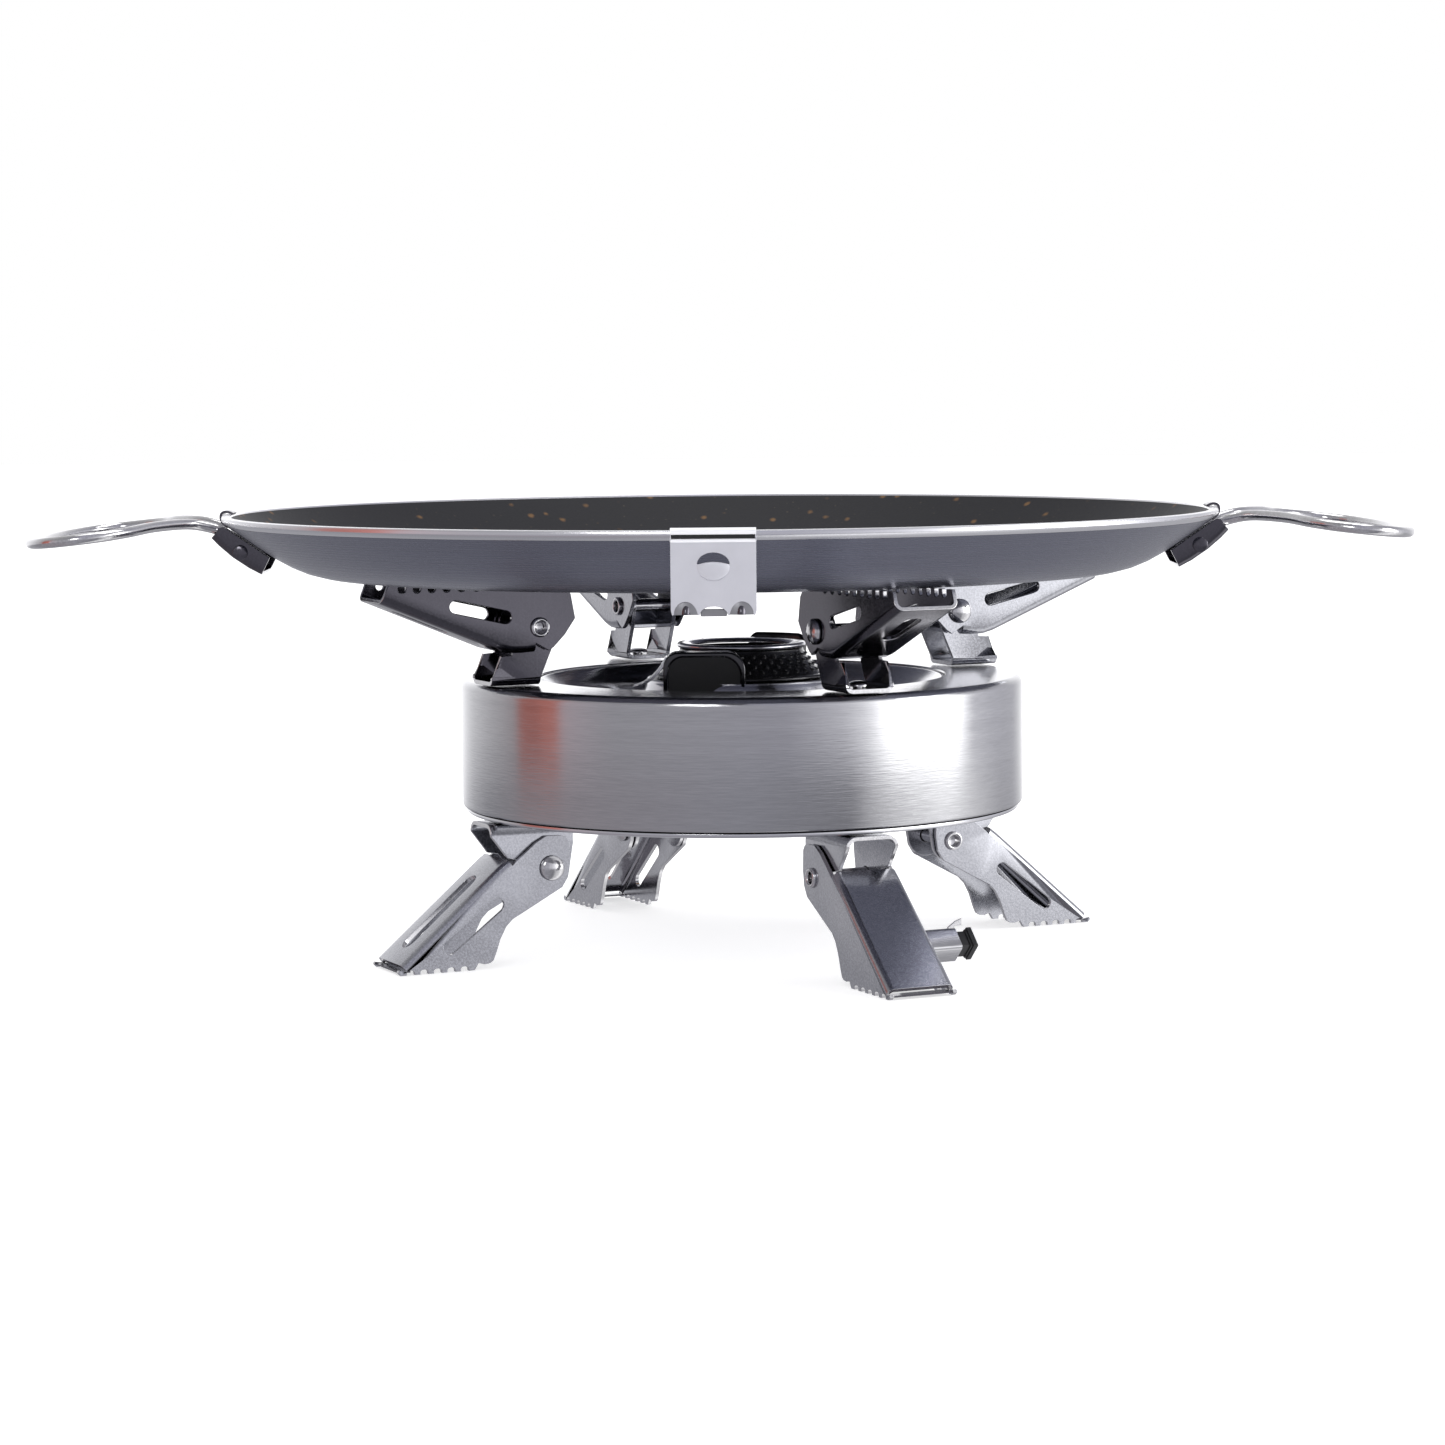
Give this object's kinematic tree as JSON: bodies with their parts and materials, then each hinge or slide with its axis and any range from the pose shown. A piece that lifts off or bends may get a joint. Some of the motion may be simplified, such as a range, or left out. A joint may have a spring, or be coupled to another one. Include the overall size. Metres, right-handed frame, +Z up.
{
  "type": "portable gas stove with pan",
  "caption": "Round steel gas burner stand on folding channel legs, with folding pot supports and a lift-off shallow pan on wire handles.",
  "frame": {"origin": "centre of the whole object's footprint, on the surface that the feet stand on; the pan's axis is the Z axis and the stove's axis stands at x = 5.8 mm", "axes": "+X along the line of the two wire handles, -Y towards the empty clip, +Z up"},
  "size_m": [0.3918, 0.2845, 0.1248],
  "materials": {
    "drum_steel": "brushed stainless steel, grain running round the drum",
    "bright_steel": "bright stainless sheet, lightly tumbled",
    "black_enamel": "glossy black heat-proof enamel",
    "brass": "turned brass",
    "black_plastic": "black moulded plastic",
    "pan_aluminium": "dark hard-anodised outside, speckled non-stick coating inside, bare machined rim",
    "ceramic": "glazed white ceramic with a bare wire"
  },
  "bodies": {
    "stove": {"drum_shell": "drum_steel", "base_plate": "drum_steel", "top_plate": "bright_steel", "burner_cup": "black_enamel", "burner_ring": "bright_steel", "burner_flange": "black_enamel", "burner_hood": "black_enamel", "burner_guard": "black_enamel", "burner_grid": "black_enamel", "burner_grid_post": "black_enamel", "electrode": "ceramic", "mixing_tube": "drum_steel", "gas_jet": "brass", "valve_body": "brass", "inlet_fitting": "brass", "leg_bracket_front_left": "bright_steel", "leg_pin_front_left": "bright_steel", "leg_rivet_front_left": "bright_steel", "support_bracket_front_left": "bright_steel", "support_pin_front_left": "bright_steel", "support_rivet_front_left": "bright_steel", "leg_bracket_front_right": "bright_steel", "leg_pin_front_right": "bright_steel", "leg_rivet_front_right": "bright_steel", "support_bracket_front_right": "bright_steel", "support_pin_front_right": "bright_steel", "support_rivet_front_right": "bright_steel", "leg_bracket_back_right": "bright_steel", "leg_pin_back_right": "bright_steel", "leg_rivet_back_right": "bright_steel", "support_bracket_back_right": "bright_steel", "support_pin_back_right": "bright_steel", "support_rivet_back_right": "bright_steel", "leg_bracket_back_left": "bright_steel", "leg_pin_back_left": "bright_steel", "leg_rivet_back_left": "bright_steel", "support_bracket_back_left": "bright_steel", "support_pin_back_left": "bright_steel", "support_rivet_back_left": "bright_steel"},
    "leg_front_left": {"leg_front_left": "bright_steel"},
    "leg_front_right": {"leg_front_right": "bright_steel", "igniter_housing": "drum_steel"},
    "leg_back_right": {"leg_back_right": "bright_steel"},
    "leg_back_left": {"leg_back_left": "bright_steel"},
    "support_front_left": {"support_front_left": "bright_steel"},
    "support_front_right": {"support_front_right": "bright_steel"},
    "support_back_right": {"support_back_right": "bright_steel"},
    "support_back_left": {"support_back_left": "bright_steel"},
    "valve_knob": {"valve_knob": "black_plastic"},
    "igniter_button": {"igniter_button": "black_plastic"},
    "pan": {"pan_body": "pan_aluminium", "pan_clip_front": "bright_steel", "pan_clip_left": "bright_steel", "pan_clip_right": "bright_steel"},
    "handle_left": {"wire_handle_left": "bright_steel"},
    "handle_right": {"wire_handle_right": "bright_steel"}
  },
  "joints": [
    {"name": "leg_fold_front_left", "type": "hinge", "parent": "stove", "child": "leg_front_left", "pos_m": [-0.05166, -0.02704, 0.027], "axis": [0.4258, -0.9048, 0], "range_deg": [0, 138]},
    {"name": "leg_fold_front_right", "type": "hinge", "parent": "stove", "child": "leg_front_right", "pos_m": [0.03284, -0.05746, 0.027], "axis": [0.9048, 0.4258, 0], "range_deg": [0, 138]},
    {"name": "leg_fold_back_right", "type": "hinge", "parent": "stove", "child": "leg_back_right", "pos_m": [0.06326, 0.02704, 0.027], "axis": [-0.4258, 0.9048, 0], "range_deg": [0, 138]},
    {"name": "leg_fold_back_left", "type": "hinge", "parent": "stove", "child": "leg_back_left", "pos_m": [-0.02124, 0.05746, 0.027], "axis": [-0.9048, -0.4258, 0], "range_deg": [0, 138]},
    {"name": "pan_lift", "type": "slide", "parent": "stove", "child": "pan", "axis": [0, 0, 1], "range_m": [0, 0.15]},
    {"name": "support_fold_front_left", "type": "hinge", "parent": "stove", "child": "support_front_left", "pos_m": [-0.05392, -0.0281, 0.0941], "axis": [-0.4258, 0.9048, 0], "range_deg": [0, 165.1]},
    {"name": "support_fold_front_right", "type": "hinge", "parent": "stove", "child": "support_front_right", "pos_m": [0.0339, -0.05972, 0.0941], "axis": [-0.9048, -0.4258, 0], "range_deg": [0, 165.1]},
    {"name": "support_fold_back_right", "type": "hinge", "parent": "stove", "child": "support_back_right", "pos_m": [0.06552, 0.0281, 0.0941], "axis": [0.4258, -0.9048, 0], "range_deg": [0, 165.1]},
    {"name": "support_fold_back_left", "type": "hinge", "parent": "stove", "child": "support_back_left", "pos_m": [-0.0223, 0.05972, 0.0941], "axis": [0.9048, 0.4258, 0], "range_deg": [0, 165.1]},
    {"name": "knob_turn", "type": "hinge", "parent": "stove", "child": "valve_knob", "pos_m": [0.0058, 0.1, 0.06], "axis": [0, 1, 0], "range_deg": [0, 270]},
    {"name": "igniter_press", "type": "slide", "parent": "leg_front_right", "child": "igniter_button", "axis": [-0.9048, -0.4258, 0], "range_m": [0, 0.0022], "stiffness_N_per_m": 300},
    {"name": "handle_right_pull", "type": "slide", "parent": "pan", "child": "handle_right", "axis": [0.8141, 0, 0.5807], "range_m": [0, 0.02]},
    {"name": "handle_left_pull", "type": "slide", "parent": "pan", "child": "handle_left", "axis": [-0.8141, 0, 0.5807], "range_m": [0, 0.02]}
  ],
  "couplings": [
    {"joint": "support_fold_front_left", "follows": "pan_lift", "rad_per_m": 19.2},
    {"joint": "support_fold_front_right", "follows": "pan_lift", "rad_per_m": 19.2},
    {"joint": "support_fold_back_right", "follows": "pan_lift", "rad_per_m": 19.2},
    {"joint": "support_fold_back_left", "follows": "pan_lift", "rad_per_m": 19.2}
  ]
}
